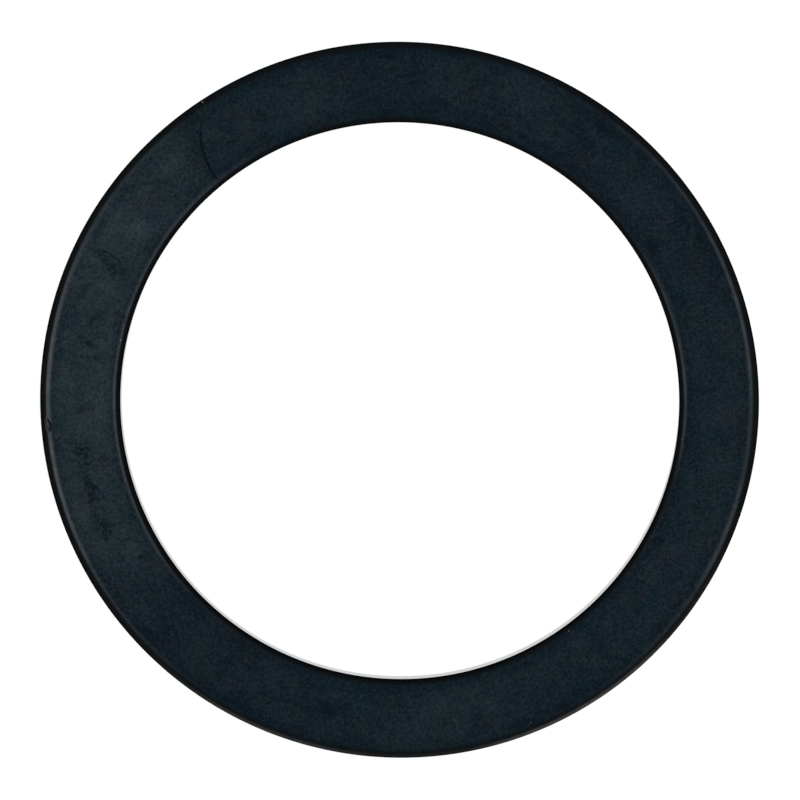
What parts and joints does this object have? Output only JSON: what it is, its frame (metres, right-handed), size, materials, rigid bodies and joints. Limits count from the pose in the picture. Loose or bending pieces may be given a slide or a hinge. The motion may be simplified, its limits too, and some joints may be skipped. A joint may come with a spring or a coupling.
{
  "type": "portafilter gasket",
  "caption": "Flat ring-shaped rubber seal of rectangular section with rounded edges, for the group head of an espresso machine.",
  "frame": {"origin": "centre of the bore, at the seating face that lies on the bench", "axes": "+Z along the axis of the bore, from the seating face towards the sealing face"},
  "size_m": [0.073, 0.073, 0.008],
  "materials": {
    "rubber": "moulded, semi-matt"
  },
  "bodies": {
    "root": {"gasket_ring": "rubber"}
  },
  "joints": []
}
